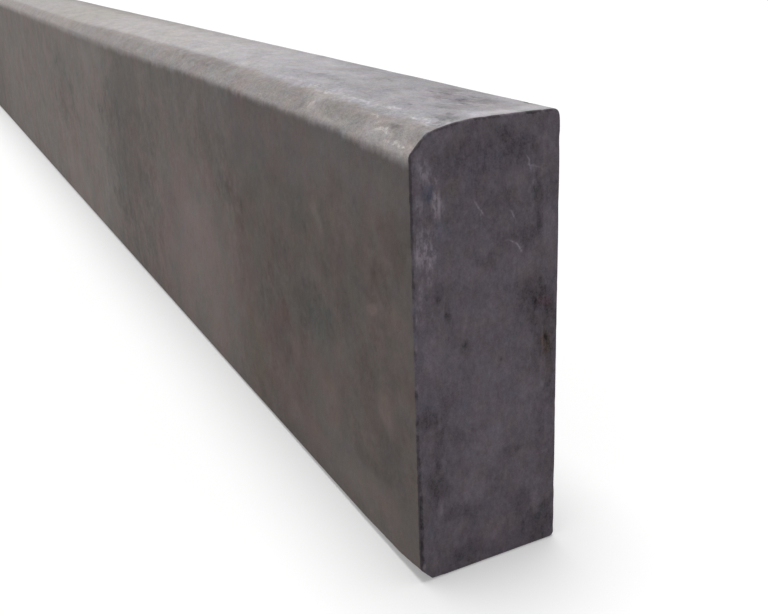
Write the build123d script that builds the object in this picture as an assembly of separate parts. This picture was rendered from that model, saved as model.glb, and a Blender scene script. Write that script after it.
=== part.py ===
from build123d import *
import os

# Concrete retaining-wall sleeper
# A plain bar of cast concrete that stands on its narrow edge. X runs along the length, Y through the
# thickness with the bevelled front face towards -Y, and Z up. The origin is the middle of the bed that
# the bar rests on. All lengths are in millimetres.

# Driving dimensions of the bar
LENGTH = 2000.0
HEIGHT = 200.0
THICKNESS = 70.0

# Bevel of the front top arris: how far it reaches across the top and down the front
BEVEL_WIDTH = 7.5
BEVEL_HEIGHT = 7.5

# Crown of the top: from the level part it falls away in one arc to the head of the bevel
CROWN_WIDTH = 26.0
CROWN_FALL = 4.0

# Radii that the mould leaves along the bar
BEVEL_FOOT_RADIUS = 4.0
BEVEL_HEAD_RADIUS = 5.0
REAR_TOP_RADIUS = 3.5
FRONT_BED_RADIUS = 2.5
REAR_BED_RADIUS = 2.5

# Radius of the arris round each end
END_ARRIS_RADIUS = 1.2


def bar_section():
    """Cross-section of the bar in the YZ plane, bed at the bottom and front face on the left."""
    front = -THICKNESS / 2
    rear = THICKNESS / 2
    bevel_head_height = HEIGHT - CROWN_FALL

    bed_front = (front, 0)
    bed_rear = (rear, 0)
    top_rear = (rear, HEIGHT)
    crown_edge = (front + BEVEL_WIDTH + CROWN_WIDTH, HEIGHT)
    bevel_head = (front + BEVEL_WIDTH, bevel_head_height)
    bevel_foot = (front, bevel_head_height - BEVEL_HEIGHT)

    with BuildSketch(Plane.YZ) as section:
        with BuildLine():
            Polyline(bevel_head, bevel_foot, bed_front, bed_rear, top_rear, crown_edge)
            TangentArc(crown_edge, bevel_head, tangent=(-1, 0))
        make_face()
        for corner, radius in (
            (bevel_head, BEVEL_HEAD_RADIUS),
            (bevel_foot, BEVEL_FOOT_RADIUS),
            (bed_front, FRONT_BED_RADIUS),
            (bed_rear, REAR_BED_RADIUS),
            (top_rear, REAR_TOP_RADIUS),
        ):
            fillet(section.vertices().sort_by_distance(corner)[0], radius)
    return section.sketch


def sleeper_bar():
    """The section run along the length, half each way, with its two end arrises eased."""
    bar = extrude(bar_section(), amount=LENGTH / 2, both=True)
    ends = bar.faces().filter_by(Axis.X)
    return fillet(ends.edges(), END_ARRIS_RADIUS)


os.makedirs("parts", exist_ok=True)
export_step(sleeper_bar(), "parts/sleeper.step")
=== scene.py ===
import math

import bpy
import numpy as np
from mathutils import Matrix, Vector


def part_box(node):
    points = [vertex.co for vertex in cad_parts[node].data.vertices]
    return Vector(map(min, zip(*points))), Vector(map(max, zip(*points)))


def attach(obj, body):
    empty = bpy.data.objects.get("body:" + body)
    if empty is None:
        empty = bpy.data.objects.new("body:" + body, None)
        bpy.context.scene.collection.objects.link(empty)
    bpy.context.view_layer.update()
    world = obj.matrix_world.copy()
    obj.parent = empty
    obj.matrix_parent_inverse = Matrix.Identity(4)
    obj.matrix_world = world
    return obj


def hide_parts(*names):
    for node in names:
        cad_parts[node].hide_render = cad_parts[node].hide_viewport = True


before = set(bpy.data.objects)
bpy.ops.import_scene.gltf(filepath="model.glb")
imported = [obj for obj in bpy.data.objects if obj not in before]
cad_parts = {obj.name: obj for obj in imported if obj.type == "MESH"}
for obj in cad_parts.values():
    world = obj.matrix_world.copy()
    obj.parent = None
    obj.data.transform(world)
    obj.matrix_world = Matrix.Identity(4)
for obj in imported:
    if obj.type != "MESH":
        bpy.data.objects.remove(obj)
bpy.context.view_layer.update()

# The bar as cast, in metres: X along it, Y through it with the bevelled front at -Y, Z up
MM = 0.001
low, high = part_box("sleeper")
LENGTH = high.x - low.x
THICKNESS = high.y - low.y
HEIGHT = high.z - low.z
BEVEL_WIDTH = 7.5 * MM
BEVEL_HEIGHT = 7.5 * MM
CROWN_WIDTH = 26 * MM
CROWN_FALL = 4 * MM
BEVEL_FOOT_RADIUS = 4 * MM
BEVEL_HEAD_RADIUS = 5 * MM
REAR_TOP_RADIUS = 3.5 * MM
BED_RADIUS = 2.5 * MM
END_RADIUS = 1.0 * MM

FRONT = -THICKNESS / 2
REAR = THICKNESS / 2
END = LENGTH / 2
HEAD_HEIGHT = HEIGHT - CROWN_FALL
FOOT_HEIGHT = HEAD_HEIGHT - BEVEL_HEIGHT
# Where the crown runs level into the top, its radius, and how far above Z = Y the line of the bevel lies
CROWN_EDGE_PLACE = FRONT + BEVEL_WIDTH + CROWN_WIDTH
CROWN_RADIUS = (CROWN_WIDTH ** 2 + CROWN_FALL ** 2) / (2 * CROWN_FALL)
BEVEL_PLACE = FOOT_HEIGHT - FRONT

# How finely the skin is cut: across the thickness, up the height and along the length
ACROSS_STEPS = 50
UP_STEPS = 78
ALONG_STEPS = 286
ARRIS_STEPS = 6
GRADING_POINTS = 6000
CROWN_KEPT_SHARE = 0.9
CROWN_POINTS = 25
ARC_POINTS = 13
FINE_STEP = 0.55 * MM
FACE_STEP = 3.6 * MM
FACE_REACH = 16 * MM
END_STEP = 0.9 * MM
BODY_STEP = 12 * MM
END_REACH = 110 * MM
END_MARGIN = 3 * MM

# Wear of the near bottom front corner, as three flats that cut it off: how far each runs along, in from the
# front and up, and how rough it is
WORN_FLATS = (
    (44 * MM, 6.0 * MM, 6.55 * MM, 0.7),
    (120 * MM, 4.4 * MM, 4.6 * MM, 0.5),
    (560 * MM, 2.7 * MM, 2.7 * MM, 0.15),
)
# Nicks in the rear top arris near that end: distance from the end, radius and depth below the sharp corner
REAR_NICKS = ((18 * MM, 4.0 * MM, 3.1 * MM), (21 * MM, 3.2 * MM, 2.8 * MM))
# Chips round each end, by arris: its middle in Y and Z, the way out, the run in Y and Z, and the number
CHIPPED_ARRISES = (
    (FRONT, HEIGHT / 2, -1, 0, (0, HEIGHT - 24 * MM), 26),
    (REAR, HEIGHT / 2, 1, 0, (0, HEIGHT - 12 * MM), 5),
    (0, HEIGHT, 0, 1, (THICKNESS - 44 * MM, 0), 8),
)
CHIP_RADII = (1.2 * MM, 4.5 * MM)
CHIP_DEPTHS = (0.2 * MM, 0.7 * MM)
CHIP_SEED = 8

# Noise of the skin, each with its height, the size of its cells and its seed: on the faces cast against the
# mould, on the trowelled top, and on the broken stone of the flats, where it starts this far inside them
MOULD_WAVES = ((0.22 * MM, (170 * MM, 90 * MM, 90 * MM), 1), (0.05 * MM, 17 * MM, 2))
TROWEL_WAVES = ((0.3 * MM, (80 * MM, 30 * MM, 60 * MM), 3), (0.12 * MM, (24 * MM, 8 * MM, 20 * MM), 4))
BROKEN_WAVES = ((0.25 * MM, 2.2 * MM, 31), (0.35 * MM, 7 * MM, 32))
BROKEN_REACH = 0.4 * MM
# Wear of the arrises round the ends: the least share of their radius, and what each noise adds to it
ARRIS_LEAST_SHARE = 0.75
ARRIS_WEAR = ((1.1, 9 * MM, 21), (0.66, 3 * MM, 22))
# Cells along the noise's lattice before it repeats, and the place in it that the origin has
LATTICE_CELLS = 64
LATTICE_START = 17.3


def smooth_step(value, start, end):
    """0 before start, 1 past end, and a smooth S between them: three shares squared less two cubed."""
    share = np.clip((value - start) / (end - start), 0, 1)
    return share ** 2 * (3 - 2 * share)


def unit(vectors):
    """Each row brought to length 1."""
    return vectors / np.linalg.norm(vectors, axis=-1, keepdims=True)


def cloud(points, size, seed):
    """Soft noise from -1 to 1: random numbers on a lattice of cells of the given size, blended between the
    eight corners of a point's cell with the S curve."""
    lattice = np.random.default_rng(seed).uniform(-1, 1, (LATTICE_CELLS,) * 3)
    cell = points / np.asarray(size) + LATTICE_START
    corner = np.floor(cell).astype(int)
    share = cell - corner
    share = share ** 2 * (3 - 2 * share)
    total = 0
    for step in np.ndindex(2, 2, 2):
        weight = np.prod(np.where(step, share, 1 - share), axis=-1)
        i, j, k = ((corner + step) % LATTICE_CELLS).T
        total = total + weight * lattice[i, j, k]
    return total


def corner_arc(before, corner, after, radius):
    """Arc that rounds a corner. Its centre lies on the bisector, radius over the sine of half the corner's
    angle away, and the points turn at an even rate between the two places where it touches the sides."""
    before, corner, after = np.array(before), np.array(corner), np.array(after)
    back, on = unit(before - corner), unit(after - corner)
    half = 0.5 * math.acos(back @ on)
    centre = corner + unit(back + on) * radius / math.sin(half)
    start = corner + back * radius / math.tan(half) - centre
    end = corner + on * radius / math.tan(half) - centre
    sweep = math.pi - 2 * half
    turn = np.linspace(0, sweep, ARC_POINTS)[:, None]
    return centre + (np.sin(sweep - turn) * start + np.sin(turn) * end) / math.sin(sweep)


def bar_outline():
    """Closed outline of the section in Y and Z, counter-clockwise seen from the near end, and the lengths
    along it of the four places where the grid of an end face has its corners: the middles of the two bed
    arrises, of the rear top arris and of the bevel."""
    bed_front, bed_rear = (FRONT, 0), (REAR, 0)
    top_rear = (REAR, HEIGHT)
    crown_edge = (CROWN_EDGE_PLACE, HEIGHT)
    head = (FRONT + BEVEL_WIDTH, HEAD_HEIGHT)
    foot = (FRONT, FOOT_HEIGHT)

    # The crown stops short of the head, so that the head's arc has room to turn into it
    crown_angle = math.asin(CROWN_WIDTH / CROWN_RADIUS)
    turn = np.linspace(0, CROWN_KEPT_SHARE * crown_angle, CROWN_POINTS)[:, None]
    crown_middle = np.array([CROWN_EDGE_PLACE, HEIGHT - CROWN_RADIUS])
    crown = crown_middle + CROWN_RADIUS * np.hstack([-np.sin(turn), np.cos(turn)])

    arcs = [
        corner_arc(foot, bed_front, bed_rear, BED_RADIUS),
        corner_arc(bed_front, bed_rear, top_rear, BED_RADIUS),
        corner_arc(bed_rear, top_rear, crown_edge, REAR_TOP_RADIUS),
        crown,
        corner_arc(crown[-1], head, foot, BEVEL_HEAD_RADIUS),
        corner_arc(head, foot, bed_front, BEVEL_FOOT_RADIUS),
    ]
    outline = np.vstack(arcs + [arcs[0][:1]])
    lengths = np.concatenate([[0], np.cumsum(np.linalg.norm(np.diff(outline, axis=0), axis=1))])
    first = np.cumsum([0] + [len(arc) for arc in arcs])
    middles = [(first[n] + first[n + 1] - 1) // 2 for n in range(3)]
    bevel_middle = 0.5 * (lengths[first[5] - 1] + lengths[first[5]])
    return outline, lengths, [*lengths[middles], bevel_middle]


def graded(start, end, count, fine, coarse, reach):
    """count + 1 places from start to end. The step grows from fine at both ends to coarse at reach from them,
    and all steps are scaled alike so that the last place is the end."""
    dense = np.linspace(start, end, GRADING_POINTS)
    step = fine + (coarse - fine) * smooth_step(np.minimum(dense - start, end - dense), 0, reach)
    counted = np.concatenate([[0], np.cumsum(np.diff(dense) / step[:-1])])
    return np.interp(np.linspace(0, counted[-1], count + 1), counted, dense)


def section_ring():
    """Points round the section and their outward normals. The sides are bed, rear, top and front, with as
    many steps on opposite sides, so that one grid can fill an end face."""
    outline, lengths, corners = bar_outline()
    around = lengths[-1]
    sides = zip(corners, corners[1:] + [corners[0] + around], (ACROSS_STEPS, UP_STEPS) * 2)
    places = np.concatenate([
        graded(start, end, count, FINE_STEP, FACE_STEP, FACE_REACH)[:-1] for start, end, count in sides
    ])

    def at(length):
        length = length % around
        return np.column_stack([np.interp(length, lengths, outline[:, n]) for n in (0, 1)])

    tangent = unit(at(places + FINE_STEP / 2) - at(places - FINE_STEP / 2))
    return at(places), np.column_stack([tangent[:, 1], -tangent[:, 0]])


def end_face(ring):
    """Grid that fills the closed ring: each point is the sum of the blends between the opposite sides, less
    the blend between the four corners."""
    i, j = ACROSS_STEPS, UP_STEPS
    loop = np.vstack([ring, ring[:1]])
    bed, rear = loop[:i + 1], loop[i:i + j + 1]
    top, front = loop[i + j:2 * i + j + 1][::-1], loop[2 * i + j:][::-1]
    u = np.linspace(0, 1, i + 1)[:, None, None]
    v = np.linspace(0, 1, j + 1)[None, :, None]
    sides = (1 - v) * bed[:, None] + v * top[:, None] + (1 - u) * front[None] + u * rear[None]
    corners = (1 - u) * (1 - v) * bed[0] + u * (1 - v) * bed[-1] + (1 - u) * v * top[0] + u * v * top[-1]
    return sides - corners


def face_indices(count, ring_start, inner_start):
    """Vertex numbers of an end face's grid: its rim is the last ring, and the rest are its own."""
    i, j = ACROSS_STEPS, UP_STEPS
    grid = np.empty((i + 1, j + 1), int)
    rim = ring_start + np.append(np.arange(count), 0)
    grid[:, 0] = rim[:i + 1]
    grid[i, :] = rim[i:i + j + 1]
    grid[:, j] = rim[i + j:2 * i + j + 1][::-1]
    grid[0, :] = rim[2 * i + j:][::-1]
    grid[1:i, 1:j] = inner_start + np.arange((i - 1) * (j - 1)).reshape(i - 1, j - 1)
    return grid


def quads(grid):
    """Faces between neighbouring rows and columns of a grid of vertex numbers."""
    return np.stack([grid[:-1, :-1], grid[1:, :-1], grid[1:, 1:], grid[:-1, 1:]], -1).reshape(-1, 4)


def arris_radius(ring, end):
    """Radius of the arris round an end at each ring point: the cast radius times a share that grows with the
    square of each noise where it is above 0."""
    places = np.column_stack([np.full(len(ring), end), ring])
    wear = sum(amount * np.maximum(0, cloud(places, size, seed)) ** 2 for amount, size, seed in ARRIS_WEAR)
    return END_RADIUS * (ARRIS_LEAST_SHARE + wear)


def waves(points, table):
    """Sum of noises, each a height times soft noise of its own size."""
    return sum(height * cloud(points, size, seed) for height, size, seed in table)


def relief(points, normals):
    """How far the real skin stands off the plain one: long soft waves on the faces cast against the mould,
    shorter ones drawn out along the bar on the trowelled top, and none on the bed."""
    top = smooth_step(normals[:, 2], 0.3, 0.9)
    bed = smooth_step(-normals[:, 2], 0.2, 0.8)
    return (1 - bed) * (waves(points, MOULD_WAVES) * (1 - top) + waves(points, TROWEL_WAVES) * top)


def break_corner(points):
    """Cuts the worn corner: points beyond the plane through the three reaches of each flat come back to it,
    with a little rough relief of the broken stone."""
    corner = np.array([END, FRONT, 0])
    rough = waves(points, BROKEN_WAVES)
    for along, inward, up, roughness in WORN_FLATS:
        reaches = corner + np.diag([-along, inward, up])
        outward = unit(np.cross(reaches[1] - reaches[0], reaches[2] - reaches[0]))
        outward = outward * np.sign(outward @ (corner - reaches[0]))
        beyond = (points - reaches[0]) @ outward
        depth = np.maximum(0, beyond + roughness * rough * (beyond > -BROKEN_REACH))
        points = points - depth[:, None] * outward
    return points


def scoop(points, centre, radius):
    """Small chip: each point inside the sphere moves out to its surface, away from its centre, which lies
    outside the bar."""
    away = points - centre
    distance = np.linalg.norm(away, axis=1)
    inside = distance < radius
    points[inside] = centre + away[inside] / distance[inside, None] * radius
    return points


def chip_arrises(points):
    """Chips of random size along the arrises round both ends, and the larger ones that show at the near end's
    rear top corner."""
    draw = np.random.default_rng(CHIP_SEED)
    for side in (-1, 1):
        for y, z, out_y, out_z, run, count in CHIPPED_ARRISES:
            outward = unit(np.array([side, out_y, out_z], float))
            for _ in range(count):
                slide = draw.uniform(-0.5, 0.5)
                place = np.array([side * END, y + slide * run[0], z + slide * run[1]])
                radius = draw.uniform(*CHIP_RADII)
                depth = draw.uniform(*CHIP_DEPTHS)
                points = scoop(points, place + outward * (radius - depth), radius)
    outward = unit(np.array([0, 1.0, 1.0]))
    for from_end, radius, depth in REAR_NICKS:
        place = np.array([END - from_end, REAR, HEIGHT])
        points = scoop(points, place + outward * (radius - depth), radius)
    return points


def cast_bar():
    """The whole skin of the bar. Round the section it follows the ring, and along the length it runs straight
    and turns in over a quarter circle at each end: the ring moves out by the sine and in by one less the
    cosine of the turn, times the arris radius. Two end faces close it."""
    ring, ring_normals = section_ring()
    count = len(ring)
    body = graded(-END + END_MARGIN, END - END_MARGIN, ALONG_STEPS, END_STEP, BODY_STEP, END_REACH)
    turn = np.linspace(0, math.pi / 2, ARRIS_STEPS + 1)
    still = np.zeros_like(body)
    side = np.concatenate([np.full_like(turn, -1), still, np.ones_like(turn)])[:, None]
    out = np.concatenate([np.sin(turn[::-1]), still, np.sin(turn)])[:, None]
    inset = np.concatenate([1 - np.cos(turn[::-1]), still, 1 - np.cos(turn)])[:, None]
    middle = np.concatenate([np.full_like(turn, -END), body, np.full_like(turn, END)])[:, None]

    radius = np.where(side < 0, arris_radius(ring, -END), arris_radius(ring, END))
    along = middle - side * radius * (1 - out)
    section = ring - ring_normals * (radius * inset)[..., None]
    skin = np.concatenate([along[..., None], section], axis=-1)
    facing = np.broadcast_to((side * out)[..., None], along.shape + (1,))
    normals = np.concatenate([facing, ring_normals * (1 - inset)[..., None]], axis=-1)

    inner_start = skin[..., 0].size
    numbers = np.arange(inner_start).reshape(-1, count)
    faces = [quads(np.hstack([numbers, numbers[:, :1]]).T)]
    points, normals = [skin.reshape(-1, 3)], [normals.reshape(-1, 3)]
    inner_count = (ACROSS_STEPS - 1) * (UP_STEPS - 1)
    for side, row, start in ((-1, 0, inner_start), (1, -1, inner_start + inner_count)):
        filled = end_face(skin[row, :, 1:])[1:-1, 1:-1].reshape(-1, 2)
        points.append(np.column_stack([np.full(inner_count, side * END), filled]))
        normals.append(np.tile([side, 0.0, 0.0], (inner_count, 1)))
        face = quads(face_indices(count, numbers[row, 0], start))
        faces.append(face if side > 0 else face[:, ::-1])

    points, normals = np.vstack(points), np.vstack(normals)
    points = points + relief(points, normals)[:, None] * normals
    points = chip_arrises(break_corner(points))
    return points, np.vstack(faces)


def mesh_piece(name, points, faces):
    """An object at the origin with this skin, smooth shaded."""
    mesh = bpy.data.meshes.new(name)
    mesh.from_pydata(points.tolist(), [], faces.tolist())
    mesh.polygons.foreach_set("use_smooth", np.ones(len(mesh.polygons), bool))
    mesh.update()
    piece = bpy.data.objects.new(name, mesh)
    bpy.context.scene.collection.objects.link(piece)
    return piece


# What brings the noise node's swing about 0.5 to about 1, and its push to about the reach asked for
NOISE_GAIN = 7.0
PUSH_GAIN = 4.0
# Detail and roughness of the noise that pushes places about
PUSH_NOISE = (2.0, 0.5)
# Share of a patch's reach within which it has its whole amount
PATCH_CORE = 0.3
# Shares of a scratch's width and of its reach at which it is whole
SCRATCH_CORE = 1 / 3
SCRATCH_KEPT = 0.4


class Value:
    """A socket that can be used in sums. An operator on it adds the Math node that does the same."""

    def __init__(self, graph, socket):
        self.graph = graph
        self.socket = socket

    def math(self, operation, first, second):
        return self.graph.add("ShaderNodeMath", {"operation": operation}, {0: first, 1: second})

    def __add__(self, other):
        return self.math("ADD", self, other)

    def __sub__(self, other):
        return self.math("SUBTRACT", self, other)

    def __rsub__(self, other):
        return self.math("SUBTRACT", other, self)

    def __mul__(self, other):
        return self.math("MULTIPLY", self, other)

    def __truediv__(self, other):
        return self.math("DIVIDE", self, other)

    __radd__ = __add__
    __rmul__ = __mul__


class Graph:
    """The nodes of one material or world."""

    def __init__(self, tree):
        self.tree = tree
        tree.nodes.clear()

    def add(self, kind, settings, sockets, output=0):
        """Adds one node. Its settings are set first, then each socket gets its value or link."""
        node = self.tree.nodes.new(kind)
        for name, value in settings.items():
            setattr(node, name, value)
        for key, value in sockets.items():
            if isinstance(value, Value):
                self.tree.links.new(value.socket, node.inputs[key])
            else:
                node.inputs[key].default_value = value
        if node.outputs:
            return Value(self, node.outputs[output])

    def step(self, value, start, end):
        """0 up to start, 1 from end on, and a smooth S between; start may lie above end."""
        return self.add(
            "ShaderNodeMapRange", {"interpolation_type": "SMOOTHSTEP"},
            {"Value": value, "From Min": start, "From Max": end},
        )

    def changes(self, value, table):
        """Sum of amounts, each of which comes smoothly while the value goes from its start to its end."""
        total = 0.0
        for start, end, amount in table:
            total = total + self.step(value, start, end) * amount
        return total

    def stretch(self, place, size):
        """The place divided by a size along each axis, so that one unit is one feature of that size."""
        return self.add(
            "ShaderNodeVectorMath", {"operation": "DIVIDE"}, {0: place, 1: size},
        )

    def raw_noise(self, place, size, detail, roughness, output=0):
        """Noise about 0.5 with features of the given size along each axis, as one number or as a colour."""
        return self.add(
            "ShaderNodeTexNoise", {},
            {"Vector": self.stretch(place, size), "Scale": 1.0, "Detail": detail, "Roughness": roughness},
            output,
        )

    def noise(self, place, size, detail, roughness):
        """Soft noise about 0, mostly within -1 and 1, with features of the given size along each axis."""
        return (self.raw_noise(place, size, detail, roughness) - 0.5) * NOISE_GAIN

    def warp(self, place, size, reach):
        """The place pushed about by up to the reach, by soft noise with features of the given size."""
        push = self.raw_noise(place, size, *PUSH_NOISE, "Color")
        push = self.add("ShaderNodeVectorMath", {"operation": "SUBTRACT"}, {0: push, 1: (0.5, 0.5, 0.5)})
        push = self.add("ShaderNodeVectorMath", {"operation": "SCALE"}, {0: push, "Scale": PUSH_GAIN * reach})
        return self.add("ShaderNodeVectorMath", {"operation": "ADD"}, {0: place, 1: push})

    def away(self, place, centre, reach):
        """Distance from a centre, counted in reaches along each axis."""
        apart = self.add(
            "ShaderNodeVectorMath", {"operation": "MULTIPLY_ADD"},
            {0: place, 1: [1 / r for r in reach], 2: [-c / r for c, r in zip(centre, reach)]},
        )
        return self.add("ShaderNodeVectorMath", {"operation": "LENGTH"}, {0: apart}, output="Value")

    def patches(self, place, ragged, patches):
        """Sum of soft patches. Each has a centre, a reach along each axis and an amount, which fades smoothly
        from the whole near the centre to nothing at the reach. The ragged noise frays its edge. Three patches
        at a time are the three parts of a vector, which keeps the graph small."""
        total = 0.0
        fray = self.add("ShaderNodeCombineXYZ", {}, {0: ragged, 1: ragged, 2: ragged})
        for first in range(0, len(patches), 3):
            three = patches[first:first + 3]
            apart = {n: self.away(place, centre, reach) for n, (centre, reach, _) in enumerate(three)}
            amounts = [amount for _, _, amount in three] + [0.0] * (3 - len(three))
            apart = self.add("ShaderNodeCombineXYZ", {}, apart)
            apart = self.add("ShaderNodeVectorMath", {"operation": "ADD"}, {0: apart, 1: fray})
            faded = self.add(
                "ShaderNodeMapRange", {"data_type": "FLOAT_VECTOR", "interpolation_type": "SMOOTHSTEP"},
                {6: apart, 7: (1.0,) * 3, 8: (PATCH_CORE,) * 3, 9: (0.0,) * 3, 10: amounts}, output=1,
            )
            total = total + self.add(
                "ShaderNodeVectorMath", {"operation": "DOT_PRODUCT"}, {0: faded, 1: (1.0, 1.0, 1.0)},
                output="Value",
            )
        return total

    def scratch(self, place, centre, radius, middle, reach, width):
        """Thin mark along a circle in the end face, kept to the part within reach of its middle."""
        ring = self.away(place, centre, (1000, 1, 1))
        off = self.add("ShaderNodeMath", {"operation": "ABSOLUTE"}, {0: ring - radius})
        line = self.step(off, width, width * SCRATCH_CORE)
        return line * self.step(self.away(place, middle, reach), 1.0, SCRATCH_KEPT)

    def blend(self, first, second, share):
        """Colour between two colours."""
        return self.add(
            "ShaderNodeMix", {"data_type": "RGBA"}, {"Factor": share, 6: first, 7: second}, output=2,
        )

    def lit(self, colour, level):
        """A colour made lighter or darker by a level."""
        return self.add(
            "ShaderNodeVectorMath", {"operation": "SCALE"}, {0: colour, "Scale": level},
        )


def srgb(red, green, blue):
    """Linear colour of a colour given in 0 to 255."""
    def linear(level):
        level = level / 255
        return level / 12.92 if level <= 0.04045 else ((level + 0.055) / 1.055) ** 2.4
    return (linear(red), linear(green), linear(blue), 1.0)


# Colours of the finishes
SIDE_WARM = srgb(138, 126, 122)
SIDE_COOL = srgb(130, 126, 122)
END_PURPLE = srgb(103, 96, 103.5)
TOP_NEAR = srgb(155.7, 153, 156.4)
TOP_FAR = srgb(157, 153, 152.3)
BEVEL_BROWN = srgb(150.5, 143, 140.5)
BEVEL_GREY = srgb(152.5, 148, 147.5)

# Noise of the finishes: the size of its features along each axis in mm, its detail and its roughness. First
# what all finishes share, then what frays their borders, the mould's faces, the end and the top.
CLOUDS = ((38, 30, 34), 2.0, 0.5)
MOTTLE = ((10, 8, 11), 4.0, 0.68)
FLECK = ((2.6, 2.0, 2.8), 3.0, 0.62)
GRAIN = ((0.7, 0.7, 0.7), 1.0, 0.5)
TINTS = ((10, 8, 9), 4.0, 0.68)
EDGE = ((34, 34, 34), 3.0, 0.6)
DRIPS = ((8, 5, 12), 3.0, 0.62)
HUE = ((40, 26, 40), 4.0, 0.6)
STAIN = ((15, 11, 15), 4.0, 0.65)
LARGE_BLOTS = ((9, 6.5, 9.5), 1.0, 0.5)
SMALL_BLOTS = ((4, 3.4, 5), 1.0, 0.5)
STREAKS = ((1.3, 1.0, 4.5), 2.0, 0.6)
SWEEP = ((24, 15, 40), 3.0, 0.6)
SMEAR = ((8, 5, 12), 4.0, 0.68)
# How patches are pushed out of shape, as the size and the reach of the push in mm: crisp ones, soft ones and
# scratches
DRAWN_WARP = ((7, 6, 8), 1.8)
LOOSE_WARP = ((50, 50, 50), 12)
SCORED_WARP = ((4, 3, 4), 0.5)

# Borders of the finishes, in mm. The light top begins at a height that changes with the distance from the
# near end and across the thickness. The crown's finish begins in Y at a place that changes along the bar.
# Each change has the two places between which it comes and its amount.
TOP_LINE = 187.9
TOP_LINE_CHANGES = ((80, 20, -2.6), (250, 600, -3.9))
TOP_LINE_ACROSS = ((-12, 12, 9.8),)
CROWN_LINE_CHANGES = ((150, 230, -2.6), (330, 560, 3.2), (520, 760, 5))
# The two places between which each finish sets in: in height about the light top's line, in Y, and in
# distance from the end
TOP_BORDER = (-3.0, 2.8)
CROWN_BORDER = (-25.0, -19.5)
END_BORDER = (1.0, 0.5)

# Level of the faces off the mould, with the share of painted shade by which they are darker towards an end,
# the share of painted light by which they are lighter far from it, and the distances between which that comes
SIDE_LEVEL = 0.86
SIDE_PAINTED_END_SHADE = 0.19
SIDE_NEAR_BORDER = (252, 212)
SIDE_PAINTED_FAR_LIGHT = 0.2
SIDE_FAR_BORDER = (510, 650)
# Level of the end, the least and the further share of its chalk and scratches that the flecks leave, and the
# dark line inside its outline with the distances between which it fades
END_LEVEL = 1.065
CHALK_LEAST = 0.3
CHALK_FURTHER = 1.1
SCRATCH_LEAST = 0.35
SCRATCH_FURTHER = 0.75
OUTLINE_SHADE = 0.5
OUTLINE_REACH = (1.15, 0.45)
# The top: where its colour turns, the painted light and shade that its level gains and loses along the bar,
# and its shade along the rear
TOP_TURN = (150, 520)
TOP_PAINTED_LIGHT_GAIN = 0.31
TOP_NEAR_REACH = (60, 330)
TOP_PAINTED_FAR_SHADE = 0.12
TOP_FAR_REACH = (560, 780)
REAR_SHADE = 0.08
REAR_BORDER = (11, 30)
REAR_SHADE_CHANGES = ((200, 650, 0.14),)
# Whitish bloom along the start of the crown: where it sets in and ends in Y, where it ends along the bar, and
# its least and further share
BLOOM_START = (-26, -21)
BLOOM_STOP = (-12, -19)
BLOOM_ALONG = (230, 90)
BLOOM_LEAST = 0.06
BLOOM_FURTHER = 0.22
# Least and further share of the trowel's smears that the flecks leave
SMEARED_LEAST = 0.5
SMEARED_FURTHER = 0.9
# Lighter foot of the light top, partly laitance and partly painted light as on the lit bevel: its gain, the
# heights between which it comes, and its share along the bar
FOOT_LAITANCE_AND_PAINTED_LIGHT_GAIN = 0.3
FOOT_BORDER = (189.8, 187.6)
FOOT_LEAST = 0.3
FOOT_CHANGES = ((200, 420, 0.6), (90, 50, 0.6))
# Red and blue swings of the tints, and the bluer upper front near the end
RED_SWING = 0.26
BLUE_SWING = 0.34
UPPER_BLUE = 0.04
UPPER_BLUE_ALONG = (420, 150)
UPPER_BLUE_HEIGHTS = (144, 168)
# Where the trowel's relief lies: up from the bevel, and in from the end
TROWELLED_HEIGHTS = (182, 190)
TROWELLED_FROM_END = (0.3, 1.5)
ROUGHNESS = 0.88
SPECULAR = 0.2

# Light scratches on the end face, in mm: each is part of a circle with this centre and radius, round this
# middle and within this reach of it, and lighter by this share
SCRATCH_WIDTH = 0.6
SCRATCHES = (
    ((0, 8.4, 174.2), 12.5, (0, 19.7, 179.6), (9, 3.5, 4.8), 0.7),
    ((0, 13.8, 174.5), 8.5, (0, 22.2, 173.1), (9, 3, 9.1), 0.35),
    ((0, 15.7, 160.8), 18.2, (0, 23.5, 177.3), (9, 6.8, 4.4), 0.4),
    ((0, 13.1, 175), 20.8, (0, -4.4, 163.6), (9, 4.6, 5.8), 0.8),
    ((0, -11.4, 157.8), 8.4, (0, -3, 158.6), (9, 2.5, 5.4), 0.4),
    ((0, 1.2, 152.7), 12.4, (0, 12.1, 158.5), (9, 4.1, 5.7), 0.85),
    ((0, -0.1, 133.8), 18.2, (0, 14.1, 145.1), (9, 5, 5.6), 0.85),
    ((0, 8.8, 144), 4.3, (0, 9.9, 148.1), (9, 4.8, 2.8), 0.4),
)

# The faces that patches lie on: the axis through each, its place along it, and how deep the patches reach
END_FACE = (0, 0, 9)
FRONT_FACE = (1, FRONT / MM, 30)
TOP_FACE = (2, HEIGHT / MM, 30)


def on_face(face, marks):
    """Patches from marks that leave out the axis through their face. Each mark has its centre and its reach
    along the two other axes, and its amount."""
    axis, place, depth = face
    patches = []
    for first, second, first_reach, second_reach, amount in marks:
        centre, reach = [first, second], [first_reach, second_reach]
        centre.insert(axis, place)
        reach.insert(axis, depth)
        patches.append((centre, reach, amount))
    return patches


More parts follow.
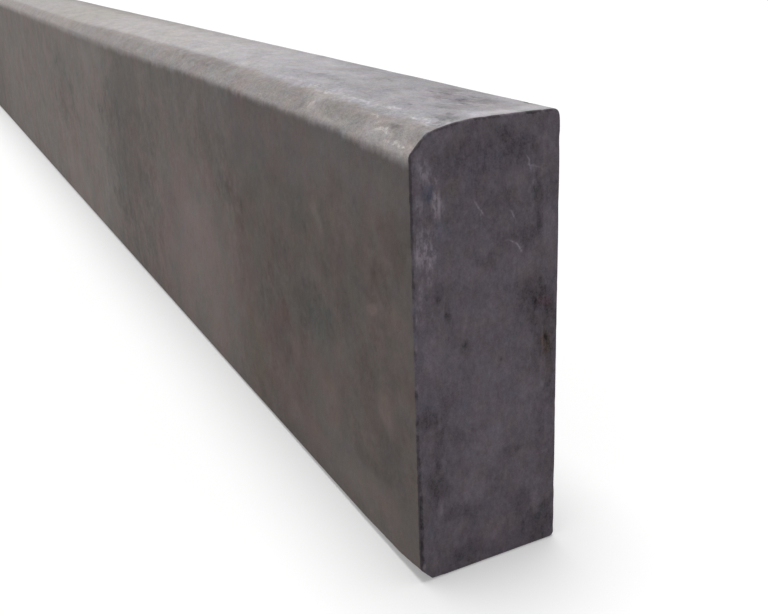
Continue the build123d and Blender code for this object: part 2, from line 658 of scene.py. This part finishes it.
# Stains and light patches that show. Each has a centre and a reach in mm, along the distance from the near
# end, Y and Z, and the share by which it makes the place lighter, or darker where it is below 0.
# Soft patches of the end face
END_FACE_PATCHES = on_face(END_FACE, (
    (-2, 185, 34, 11, -0.2),
    (18, 186, 16, 6, -0.22),
    (-8, 196, 8, 4, -0.2),
    (6, 194, 7, 4, -0.2),
    (-4, 169, 9, 7, -0.16),
    (6, 165, 10, 7, -0.26),
    (24, 163, 3.5, 20, -0.3),
    (20, 149, 6, 8, -0.28),
    (9, 149, 8, 5, -0.24),
    (0, 141, 9, 4, -0.2),
    (31, 166, 6, 8, -0.16),
    (21, 124, 11, 12, -0.34),
    (28, 108, 9, 24, -0.32),
    (31, 86, 5, 22, -0.3),
    (-24, 131, 3, 6, -0.24),
    (-20, 121, 3, 6, -0.26),
    (-11, 105, 4, 5, -0.3),
    (6, 96, 2, 2.4, -0.2),
    (-29, 77, 8, 8, -0.36),
    (-20, 82, 6, 6, -0.26),
    (-25, 60, 3.5, 18, -0.28),
    (-15, 65, 5, 6, -0.24),
    (-27, 44, 8, 12, -0.34),
    (11, 51, 9, 5, -0.22),
    (27, 60, 5, 16, -0.22),
    (31, 38, 6, 18, -0.2),
    (-17, 28, 12, 7, -0.24),
    (16, 24, 10, 10, -0.26),
    (-11, 9, 12, 8, -0.26),
    (26, 10, 12, 12, -0.34),
    (-29, 184, 5, 8, 0.2),
    (12, 197, 9, 3, 0.2),
    (-18, 196, 9, 3, 0.14),
    (28, 188, 5, 9, 0.2),
    (15, 174, 7, 7, 0.2),
    (31, 148, 5, 18, 0.24),
    (12, 135, 10, 9, 0.14),
    (-8, 140, 24, 14, 0.12),
    (-26, 106, 9, 14, 0.22),
    (20, 80, 9, 10, 0.12),
    (-2, 55, 14, 14, 0.22),
    (-8, 38, 9, 10, 0.24),
    (10, 63, 14, 10, 0.1),
    (26.5, 80, 4, 5, 0.2),
    (1, 11, 6, 6, 0.2),
    (24, 22, 3, 8, 0.34),
    (-25, 33, 2.5, 7, 0.3),
    (0, 88, 26, 46, 0.1),
    (-29, 158, 8, 24, -0.14),
    (-27.5, 171, 4, 4, -0.2),
    (-29, 180, 7, 9, -0.07),
    (18, 160, 8, 10, -0.08),
    (29, 180, 7, 10, 0.08),
    (29, 60, 7, 10, 0.07),
    (-7, 180, 8, 9, -0.05),
    (6, 160, 9, 12, 0.1),
    (18, 140, 9, 12, 0.13),
    (-4, 120, 14, 12, 0.11),
    (29, 120, 8, 12, -0.2),
    (-22, 100, 14, 12, 0.08),
    (-29, 80, 7, 9, -0.06),
    (-6, 80, 9, 12, 0.07),
    (18, 72, 9, 22, 0.08),
    (-10, 41, 18, 12, 0.09),
    (18, 40, 8, 12, 0.1),
    (-17, 19, 10, 14, 0.09),
    (3, 18, 14, 14, 0.06),
    (29, 18, 8, 14, -0.12),
))
# Chalky scuffs along the front edge of the end face
END_SCUFFS = on_face(END_FACE, (
    (-29, 147, 8, 7, 0.9),
    (-29, 155, 7, 8, 0.45),
    (-27, 157, 9, 22, 0.16),
    (-30, 182, 5, 10, 0.55),
    (-26, 179, 6, 6, 0.45),
    (-23.5, 168, 5, 8, 0.75),
    (-31.5, 168, 3, 8, 0.5),
    (-28, 140, 2.4, 9, 0.55),
    (-33, 150, 3, 14, 0.3),
    (-32, 130, 3, 20, 0.35),
))
# Small dark pits and light strokes of the end face. The slit near its rear edge and the dark line along its
# front edge come first.
END_FACE_MARKS = on_face(END_FACE, (
    (28.9, 99, 1.8, 7.5, -0.36),
    (-33.9, 30, 1.0, 36, -0.5),
    (-33.4, 7.5, 1.3, 2.2, 0.7),
    (-34, 122, 0.9, 4, 0.4),
    (-34.2, 110, 0.9, 2.4, 0.45),
    (-34.2, 92, 0.9, 3, 0.35),
    (27.1, 101, 0.8, 8, 0.3),
    (-11.5, 106, 1.6, 2.6, -0.24),
    (-14.5, 97, 1.1, 1.3, -0.2),
    (6, 96, 1.4, 2, -0.24),
    (9.5, 101, 1.2, 1.8, -0.16),
    (-28.5, 130, 1.5, 2, -0.24),
    (-11, 131, 1.5, 1.6, -0.22),
    (-23.7, 128, 1.3, 3.5, -0.24),
    (-20, 120, 1.8, 3, -0.22),
    (-8.5, 67, 1.3, 1.7, -0.22),
    (2.5, 39.5, 1.2, 1.4, -0.22),
    (15.5, 39.5, 1.2, 1.4, -0.22),
    (-0.6, 114, 1, 2.4, -0.18),
    (-22.4, 167, 0.9, 9, 0.55),
    (-30.3, 157, 0.7, 6, 0.4),
    (-24.3, 76, 0.9, 8, 0.2),
    (-24.3, 33, 1.1, 4, 0.3),
    (27.4, 79, 1.6, 2.4, 0.25),
    (15, 134, 1, 2.4, 0.2),
    (1.2, 121, 1, 2, 0.25),
    (0.6, 81, 1, 2, 0.2),
    (0, 91, 1, 2.4, 0.2),
))
# Cloudy patches of the front face
FRONT_PATCHES = on_face(FRONT_FACE, (
    (318, 42, 100, 96, 0.1),
    (325, 74, 34, 30, 0.09),
    (520, 115, 120, 150, -0.12),
    (840, 120, 90, 45, -0.12),
    (80, 172, 240, 22, 0.07),
    (720, 175, 170, 25, 0.06),
    (720, 10, 170, 26, 0.1),
    (55, 12, 75, 34, 0.13),
    (268, 150, 52, 44, -0.07),
    (160, 72, 44, 40, -0.05),
    (102, 48, 22, 26, 0.14),
    (43, 112, 10, 7, 0.2),
    (24, 69, 11, 8, 0.2),
    (93, 139, 10, 8, 0.16),
    (225, 50, 22, 22, 0.06),
    (154, 16, 14, 14, 0.1),
    (100, 96, 34, 18, -0.07),
    (158, 116, 30, 12, -0.06),
    (58, 41, 20, 10, -0.1),
    (36, 128, 22, 12, -0.08),
    (70, 158, 16, 14, -0.08),
    (235, 115, 30, 18, -0.08),
    (286, 165, 26, 18, -0.1),
    (80, 172, 30, 14, 0.08),
    (62, 122, 46, 46, -0.07),
    (30, 60, 40, 34, -0.08),
    (100, 18, 56, 20, 0.07),
    (160, 74, 30, 46, -0.06),
    (122, 108, 28, 30, -0.05),
    (240, 122, 30, 18, -0.1),
    (200, 148, 30, 17, 0.07),
    (570, 170, 170, 30, 0.08),
    (570, 122, 66, 18, -0.12),
    (570, 47, 66, 18, -0.1),
    (810, 110, 110, 34, -0.06),
    (810, 25, 110, 36, 0.08),
    (350, 47, 110, 18, 0.06),
    (15, 148, 24, 14, -0.08),
    (285, 148, 28, 14, -0.06),
    (480, 148, 46, 14, 0.06),
    (160, 98, 26, 14, -0.06),
))
# Where the front and the top are redder or bluer, and then where the end is
FRONT_RED_PATCHES = on_face(FRONT_FACE, (
    (310, 70, 130, 110, 0.05),
    (335, 130, 55, 36, 0.05),
    (225, 80, 48, 40, 0.07),
    (138, 48, 60, 50, 0.09),
    (15, 90, 60, 120, 0.06),
    (4, 55, 12, 45, 0.06),
    (47, 150, 12, 44, 0.05),
    (215, 160, 60, 26, -0.05),
    (170, 138, 70, 22, -0.03),
    (102, 92, 26, 20, -0.09),
    (31, 60, 11, 34, -0.05),
    (116, 145, 18, 34, -0.05),
    (245, 135, 12, 14, -0.06),
    (560, 110, 90, 90, -0.03),
    (380, 176, 90, 20, -0.05),
    (840, 50, 110, 80, 0.05),
    (130, 70, 44, 30, 0.06),
    (190, 76, 50, 40, 0.05),
    (165, 20, 130, 26, 0.06),
    (160, 122, 40, 22, 0.045),
    (285, 122, 38, 22, 0.055),
    (440, 38, 100, 46, 0.06),
    (410, 98, 54, 22, 0.04),
    (800, 158, 110, 36, -0.035),
    (18, 182, 16, 9, 0.05),
)) + [
    ((45, 12, 200), (42, 18, 9), 0.045),
]
FRONT_BLUE_PATCHES = on_face(FRONT_FACE, (
    (205, 30, 30, 62, -0.08),
    (205, 112, 60, 26, -0.03),
    (395, 70, 55, 60, 0.03),
    (315, 76, 66, 50, 0.03),
)) + [
    ((800, 0, 200), (180, 60, 10), -0.05),
    ((45, 12, 200), (42, 18, 9), 0.025),
]
END_RED_PATCHES = on_face(END_FACE, (
    (28.3, 118.5, 5, 5.5, 0.24),
    (28.9, 99, 3, 9, 0.12),
    (30, 90, 5, 14, 0.04),
    (-27.3, 172.5, 3.5, 6, -0.13),
    (-21, 157, 5, 7, -0.06),
    (2, 14, 15, 14, 0.04),
    (0, 182, 16, 10, 0.025),
))
END_BLUE_PATCHES = on_face(END_FACE, (
    (-27.3, 172.5, 3.5, 6, 0.18),
    (-21, 157, 5, 7, 0.06),
    (-16, 174, 4.5, 5, -0.1),
    (28.9, 99, 3, 9, -0.14),
    (30, 90, 5, 14, -0.06),
    (6, 183, 28, 16, 0.045),
))
# Stains of the trowelled top and of the bevel
TOP_PATCHES = on_face(TOP_FACE, (
    (70, 21, 17, 9, -0.24),
    (54, 13, 17, 11, -0.2),
    (35, 17, 14, 11, -0.27),
    (40, 8, 16, 9, -0.2),
    (28, 2, 12, 10, -0.18),
    (12, -12, 9, 6, -0.25),
    (7, -17.5, 7, 6, -0.3),
    (88, 2, 7, 16, -0.1),
    (6, 7, 7, 16, 0.42),
    (7, 25, 9, 10, 0.38),
    (26, 29, 26, 5, 0.2),
    (12, -2, 9, 5, 0.16),
    (150, -4, 30, 6, -0.08),
    (178, 27, 40, 7, -0.08),
    (205, 15, 30, 12, 0.07),
))
BEVEL_PATCHES = (
    ((78, -27, 194), (34, 7, 12), -0.14),
    ((165, -26, 195), (60, 5, 9), -0.06),
    ((300, -24, 195), (105, 7, 12), -0.17),
    ((10, -34, 189), (26, 5, 6), 0.14),
    ((34, -31, 192), (17, 3.5, 6), 0.12),
    ((108, -27, 194), (9, 8, 9), 0.16),
    ((24, -27.5, 195), (9, 2, 3), -0.26),
    ((12, -25, 196), (9, 2.4, 4), -0.14),
    ((270, -26, 195), (230, 3, 4), -0.08),
)
# Whitish smears that the trowel left along the crown's edge and on the bevel
SMEARS = (
    ((29, -30.2, 193), (13, 1.5, 1.8), 0.45),
    ((13, -32.4, 190.8), (14, 1.3, 1.6), 0.45),
    ((39, -27.6, 195), (6, 1.8, 2), 0.35),
    ((47, -25.5, 196), (6, 1.6, 3), 0.3),
    ((20, -18.6, 199), (12, 2.2, 5), 0.42),
    ((10, -22, 198), (7, 1.6, 3), 0.42),
    ((47, -16.5, 199), (11, 2.4, 5), 0.36),
    ((78, -19.2, 199), (20, 2, 5), 0.26),
    ((106, -20, 199), (10, 2.6, 5), 0.26),
    ((132, -19, 199), (14, 1.6, 5), 0.2),
    ((111, -29, 194), (7, 1.8, 2.4), 0.3),
    ((83, -33, 190), (8, 1.4, 2), 0.22),
    ((172, -33, 190), (7, 1.4, 2), 0.2),
)
# Where the dark line under the arrises of the end breaks off, and where it is whole
ARRIS_PATCHES = on_face(END_FACE, (
    (-35, 172, 9, 24, -1.2),
    (-35, 100, 9, 46, 0.8),
    (-35, 25, 9, 40, -1.6),
    (0, 200, 7, 6, -1.8),
    (12, 200, 8, 6, 1.8),
    (21.5, 200, 5, 6, -2.5),
))
# Small dark marks in the top, and painted shade in the nick in its rear arris
TOP_PITS_AND_NICK_SHADE = on_face(TOP_FACE, (
    (47.5, -9.5, 3, 1.1, 0.4),
    (72, 14.5, 3, 1.0, 0.4),
    (119, 16.5, 3.5, 1.0, 0.4),
    (18.3, 31.9, 4.6, 2.4, 0.85),
))


def concrete():
    """Cast concrete: grey-brown cloudy faces off the mould, purple-grey blotched ends, a browner bevel and a
    light trowelled top."""
    material = bpy.data.materials.new("cast_concrete")
    material.use_nodes = True
    g = Graph(material.node_tree)
    place = g.add("ShaderNodeTexCoord", {}, {}, output="Object")
    place = g.add("ShaderNodeVectorMath", {"operation": "SCALE"}, {0: place, "Scale": 1 / MM})
    x = g.add("ShaderNodeSeparateXYZ", {}, {0: place}, output=0)
    y = g.add("ShaderNodeSeparateXYZ", {}, {0: place}, output=1)
    z = g.add("ShaderNodeSeparateXYZ", {}, {0: place}, output=2)
    near = END / MM - x
    from_end = END / MM - g.add("ShaderNodeMath", {"operation": "ABSOLUTE"}, {0: x})
    measured = g.add("ShaderNodeCombineXYZ", {}, {0: near, 1: y, 2: z})
    drawn = g.warp(measured, *DRAWN_WARP)
    loose = g.warp(measured, *LOOSE_WARP)

    # Noise shared by the finishes, and what frays the edges of their patches
    clouds = g.noise(place, *CLOUDS)
    mottle = g.noise(place, *MOTTLE)
    fleck = g.noise(place, *FLECK)
    grain = g.noise(place, *GRAIN)
    ragged = mottle * 0.17 + fleck * 0.03

    # Where each finish lies
    edge = g.noise(place, *EDGE)
    drips = g.noise(place, *DRIPS)
    top_line = TOP_LINE + g.changes(near, TOP_LINE_CHANGES) + g.changes(y, TOP_LINE_ACROSS)
    top = g.step(z - (top_line + edge * 0.5 + drips * 1.0), *TOP_BORDER)
    crown_line = y + edge * 0.5 + mottle * 0.9 + g.changes(near, CROWN_LINE_CHANGES)
    crown = g.step(crown_line, *CROWN_BORDER)
    end = g.step(from_end + mottle * 0.15 + fleck * 0.15, *END_BORDER)

    # Faces off the mould
    hue = g.noise(place, *HUE)
    side_colour = g.blend(SIDE_WARM, SIDE_COOL, g.step(hue, -1.3, 1.3))
    # Painted shade darkens these faces towards each end, and painted light makes them lighter far from the
    # ends
    shade = g.step(from_end + edge * 8 + mottle * 5, *SIDE_NEAR_BORDER)
    pale = g.step(from_end + edge * 20, *SIDE_FAR_BORDER)
    side_level = 1 + clouds * 0.055 + mottle * 0.075 + fleck * 0.06 + grain * 0.03
    side_level = side_level * (SIDE_LEVEL - shade * SIDE_PAINTED_END_SHADE + pale * SIDE_PAINTED_FAR_LIGHT)
    side_level = side_level + g.patches(loose, ragged, FRONT_PATCHES)
    side = g.lit(side_colour, side_level)

    # End face, with the chalk and the scratches broken up by its flecks
    stain = g.step(g.noise(place, *STAIN), 0.1, -0.9)
    blots = g.step(g.noise(place, *LARGE_BLOTS), -0.4, 0.4) + g.step(g.noise(place, *SMALL_BLOTS), -0.5, 0.5)
    streaks = g.noise(place, *STREAKS)
    end_level = END_LEVEL + mottle * 0.05 + fleck * 0.12 + grain * 0.09 + streaks * 0.05
    end_level = end_level - stain * 0.05 + blots * 0.08
    end_level = end_level + g.patches(drawn, ragged, END_FACE_PATCHES)
    end_level = end_level + g.patches(measured, fleck * 0.12, END_FACE_MARKS)
    chalk = g.patches(drawn, ragged + fleck * 0.12, END_SCUFFS)
    chalk_left = g.step(streaks * 0.4 + fleck * 0.8 + mottle * 0.7, -0.6, 1.0)
    end_level = end_level + chalk * (CHALK_LEAST + chalk_left * CHALK_FURTHER)
    scored = g.warp(measured, *SCORED_WARP)
    scratched = 0.0
    for centre, radius, middle, reach, amount in SCRATCHES:
        scratched = scratched + g.scratch(scored, centre, radius, middle, reach, SCRATCH_WIDTH) * amount
    scratch_left = g.step(fleck, -0.5, 0.7)
    end_level = end_level + scratched * (SCRATCH_LEAST + scratch_left * SCRATCH_FURTHER)

    # How far inside the end's outline a point lies, in mm: from the front, from the bevel and from the
    # crowned top, which falls by the distance squared over twice its radius. A dark line runs just inside.
    fall = g.add("ShaderNodeMath", {"operation": "MAXIMUM"}, {0: CROWN_EDGE_PLACE / MM - y, 1: 0.0})
    from_bevel = (y - z + BEVEL_PLACE / MM) * math.sqrt(0.5)
    from_top = HEIGHT / MM - z - fall * fall / (2 * CROWN_RADIUS / MM)
    inside = g.add("ShaderNodeMath", {"operation": "MINIMUM"}, {0: y - FRONT / MM, 1: from_bevel})
    inside = g.add("ShaderNodeMath", {"operation": "MINIMUM"}, {0: inside, 1: from_top})
    broken = g.step(mottle + g.patches(measured, 0.0, ARRIS_PATCHES), 0.9, -0.7)
    arris = g.step(inside + fleck * 0.22, *OUTLINE_REACH) * broken
    end_level = end_level * (1 - arris * OUTLINE_SHADE)
    end_colour = g.lit(END_PURPLE[:3], end_level)

    # Trowelled top, darker along its rear, and the browner bevel
    sweep = g.noise(place, *SWEEP)
    smears = g.noise(place, *SMEAR)
    top_colour = g.blend(TOP_NEAR, TOP_FAR, g.step(near + sweep * 40, *TOP_TURN))
    # Painted light and shade along the bar: the top is darker near the near end, lighter further along, and
    # darker again far off
    top_painted_light = g.step(near + sweep * 30, *TOP_NEAR_REACH) * TOP_PAINTED_LIGHT_GAIN
    top_painted_light = top_painted_light - g.step(near, *TOP_FAR_REACH) * TOP_PAINTED_FAR_SHADE
    rear_shade = g.step(y + smears, *REAR_BORDER) * (REAR_SHADE + g.changes(near, REAR_SHADE_CHANGES))
    top_colour = g.lit(top_colour, (1 + top_painted_light) * (1 - rear_shade))
    bevel_level = 1 + g.patches(drawn, ragged, BEVEL_PATCHES) + g.step(near, 640, 800) * 0.15
    bevel_colour = g.lit(g.blend(BEVEL_BROWN, BEVEL_GREY, g.step(hue, -1, 1)), bevel_level)

    # Over both lie the trowel's smears, a whitish bloom where the crown begins, and a lighter foot along the
    # line where the light top begins, partly laitance reaching lower and partly painted light as on the lit
    # bevel
    top_level = 1 + sweep * 0.07 + smears * 0.063 + fleck * 0.08 + grain * 0.08
    top_level = top_level + g.patches(drawn, smears * 0.2 + fleck * 0.05, TOP_PATCHES) * crown
    bloom = g.step(crown_line, *BLOOM_START) * g.step(crown_line, *BLOOM_STOP) * g.step(near, *BLOOM_ALONG)
    bloom_left = g.step(smears + fleck, -0.3, 1.8)
    top_level = top_level + bloom * (BLOOM_LEAST + bloom_left * BLOOM_FURTHER)
    smeared = g.patches(drawn, ragged * 0.7 + fleck * 0.06, SMEARS)
    smeared_left = g.step(fleck + grain * 0.5, -0.8, 0.9)
    top_level = top_level + smeared * (SMEARED_LEAST + smeared_left * SMEARED_FURTHER)
    # Painted light, along with laitance, lightens the foot of the light top as if it were the lit bevel
    foot = g.step(z, *FOOT_BORDER) * (FOOT_LEAST + g.changes(near, FOOT_CHANGES))
    laitance = g.lit(g.blend(bevel_colour, top_colour, crown), top_level * (1 + foot * FOOT_LAITANCE_AND_PAINTED_LIGHT_GAIN))

    # The finishes together, then their red and blue, and the fine relief
    # Painted shade in the nick in the rear arris darkens the colour here, along with the top's small dark
    # marks
    colour = g.lit(g.blend(side, laitance, top), 1 - g.patches(measured, 0.0, TOP_PITS_AND_NICK_SHADE))
    colour = g.blend(colour, end_colour, end)
    tints = g.raw_noise(place, *TINTS, "Color")
    red = 1 + (g.add("ShaderNodeSeparateColor", {}, {0: tints}, output=0) - 0.5) * RED_SWING
    blue = 1 + (g.add("ShaderNodeSeparateColor", {}, {0: tints}, output=2) - 0.5) * BLUE_SWING
    red = red + g.patches(loose, ragged, FRONT_RED_PATCHES) * (1 - end)
    red = red + g.patches(drawn, ragged, END_RED_PATCHES) * end
    blue = blue + g.patches(loose, ragged, FRONT_BLUE_PATCHES) * (1 - end)
    blue = blue + g.patches(drawn, ragged, END_BLUE_PATCHES) * end
    upper = g.step(near, *UPPER_BLUE_ALONG) * (1 - top) * (1 - end) * g.step(z, *UPPER_BLUE_HEIGHTS)
    blue = blue + upper * UPPER_BLUE
    tint = g.add("ShaderNodeCombineXYZ", {}, {0: red, 1: 1.0, 2: blue})
    colour = g.add("ShaderNodeVectorMath", {"operation": "MULTIPLY"}, {0: colour, 1: tint})
    trowelled = g.step(z, *TROWELLED_HEIGHTS) * g.step(from_end, *TROWELLED_FROM_END)
    height = grain * 0.02 + fleck * 0.035 + mottle * 0.06 + smears * trowelled * 0.1
    bump = g.add("ShaderNodeBump", {}, {"Strength": 1.0, "Distance": MM, "Height": height})
    surface = g.add(
        "ShaderNodeBsdfPrincipled", {},
        {
            "Base Color": colour,
            "Roughness": ROUGHNESS + fleck * 0.02,
            "Specular IOR Level": SPECULAR,
            "Normal": bump,
        },
    )
    g.add("ShaderNodeOutputMaterial", {}, {"Surface": surface})
    return material


# Camera of the photo: focal length in pixels of its frame, the point of the frame that the lens looks
# straight at, the camera's place, and the way it looks. The bar sits off the middle of the lens's picture, so
# the frame needs a small shift.
PHOTO_WIDTH = 768
PHOTO_HEIGHT = 614
FOCAL_PIXELS = 982.52
AIM_ACROSS = 450.0
AIM_DOWN = 246.2
SENSOR_MM = 36
CAMERA_PLACE = (END + 323.84 * MM, -200.88 * MM, 265.33 * MM)
CAMERA_AZIMUTH = math.radians(60.536)
CAMERA_ELEVATION = math.radians(17.216)
CAMERA_ROLL = math.radians(-0.972)


def photo_camera():
    """Camera that looks along the azimuth and down by the elevation, and is then rolled about its own axis.

    Azimuth 0 looks along +Y. Right is the forward direction crossed with the vertical, and up is right
    crossed with forward.
    """
    data = bpy.data.cameras.new("photo_camera")
    data.sensor_width = SENSOR_MM
    data.lens = FOCAL_PIXELS * SENSOR_MM / PHOTO_WIDTH
    data.shift_x = (PHOTO_WIDTH / 2 - AIM_ACROSS) / PHOTO_WIDTH
    data.shift_y = (AIM_DOWN - PHOTO_HEIGHT / 2) / PHOTO_WIDTH
    data.clip_start = 10 * MM
    camera = bpy.data.objects.new("photo_camera", data)
    bpy.context.scene.collection.objects.link(camera)
    level = math.cos(CAMERA_ELEVATION)
    back = Vector((
        math.sin(CAMERA_AZIMUTH) * level, -math.cos(CAMERA_AZIMUTH) * level, math.sin(CAMERA_ELEVATION)
    ))
    right = (-back).cross(Vector((0, 0, 1))).normalized()
    up = back.cross(right)
    turn = Matrix.Rotation(CAMERA_ROLL, 3, back) @ Matrix((right, up, back)).transposed()
    camera.matrix_world = Matrix.Translation(CAMERA_PLACE) @ turn.to_4x4()
    bpy.context.scene.camera = camera


# Studio: an overhead soft light, a weaker one from the front, a fill from all round, and a floor that shows
# white with the shadow on it
KEY_STRENGTH = 2.5
KEY_ANGLE = math.radians(30)
KEY_FROM = (-0.1, 0.0, 1.0)
SIDE_STRENGTH = 0.2
SIDE_ANGLE = math.radians(70)
SIDE_FROM = (0.5, -0.75, 0.55)
FILL_STRENGTH = 0.28
FLOOR_SIDE = 40.0
FLOOR_DROP = 0.2 * MM
FLOOR_BOUNCE = 0.5
FLOOR_SHOWN = 0.7
FLOOR_GLOW = 0.27


def seen(g):
    """1 for rays that show a surface to the camera, straight or in a reflection, and 0 for those that light
    it."""
    ways = [g.add("ShaderNodeLightPath", {}, {}, output=name)
            for name in ("Is Camera Ray", "Is Glossy Ray", "Is Transmission Ray")]
    return g.add("ShaderNodeMath", {"operation": "MINIMUM"}, {0: ways[0] + ways[1] + ways[2], 1: 1.0})


def sun(name, strength, angle, toward):
    """Sun lamp whose light comes from the given direction."""
    data = bpy.data.lights.new(name, "SUN")
    data.energy = strength
    data.angle = angle
    lamp = bpy.data.objects.new(name, data)
    lamp.rotation_euler = Vector(toward).to_track_quat("Z", "Y").to_euler()
    bpy.context.scene.collection.objects.link(lamp)


def studio():
    """White world, two wide suns and a pale floor."""
    world = bpy.data.worlds.new("studio")
    bpy.context.scene.world = world
    world.use_nodes = True
    g = Graph(world.node_tree)
    fill = g.add("ShaderNodeBackground", {}, {"Color": (1, 1, 1, 1), "Strength": FILL_STRENGTH})
    white = g.add("ShaderNodeBackground", {}, {"Color": (1, 1, 1, 1), "Strength": 1.0})
    light = g.add("ShaderNodeMixShader", {}, {0: seen(g), 1: fill, 2: white})
    g.add("ShaderNodeOutputWorld", {}, {"Surface": light})

    sun("overhead", KEY_STRENGTH, KEY_ANGLE, KEY_FROM)
    sun("front", SIDE_STRENGTH, SIDE_ANGLE, SIDE_FROM)

    half = FLOOR_SIDE / 2
    corners = np.array([[-half, -half], [half, -half], [half, half], [-half, half]])
    floor = mesh_piece("floor", np.column_stack([corners, np.full(4, -FLOOR_DROP)]), np.array([[0, 1, 2, 3]]))
    material = bpy.data.materials.new("pale_floor")
    material.use_nodes = True
    g = Graph(material.node_tree)
    plain = g.add("ShaderNodeBsdfDiffuse", {}, {"Color": (FLOOR_BOUNCE, FLOOR_BOUNCE, FLOOR_BOUNCE, 1)})
    shown = g.add("ShaderNodeBsdfDiffuse", {}, {"Color": (FLOOR_SHOWN, FLOOR_SHOWN, FLOOR_SHOWN, 1)})
    glow = g.add("ShaderNodeEmission", {}, {"Strength": FLOOR_GLOW})
    shown = g.add("ShaderNodeAddShader", {}, {0: shown, 1: glow})
    surface = g.add("ShaderNodeMixShader", {}, {0: seen(g), 1: plain, 2: shown})
    g.add("ShaderNodeOutputMaterial", {}, {"Surface": surface})
    floor.data.materials.append(material)


photo_camera()
studio()

bar = mesh_piece("sleeper_bar", *cast_bar())
bar.data.materials.append(concrete())
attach(bar, "root")
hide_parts("sleeper")

bpy.context.scene.view_settings.view_transform = "Standard"
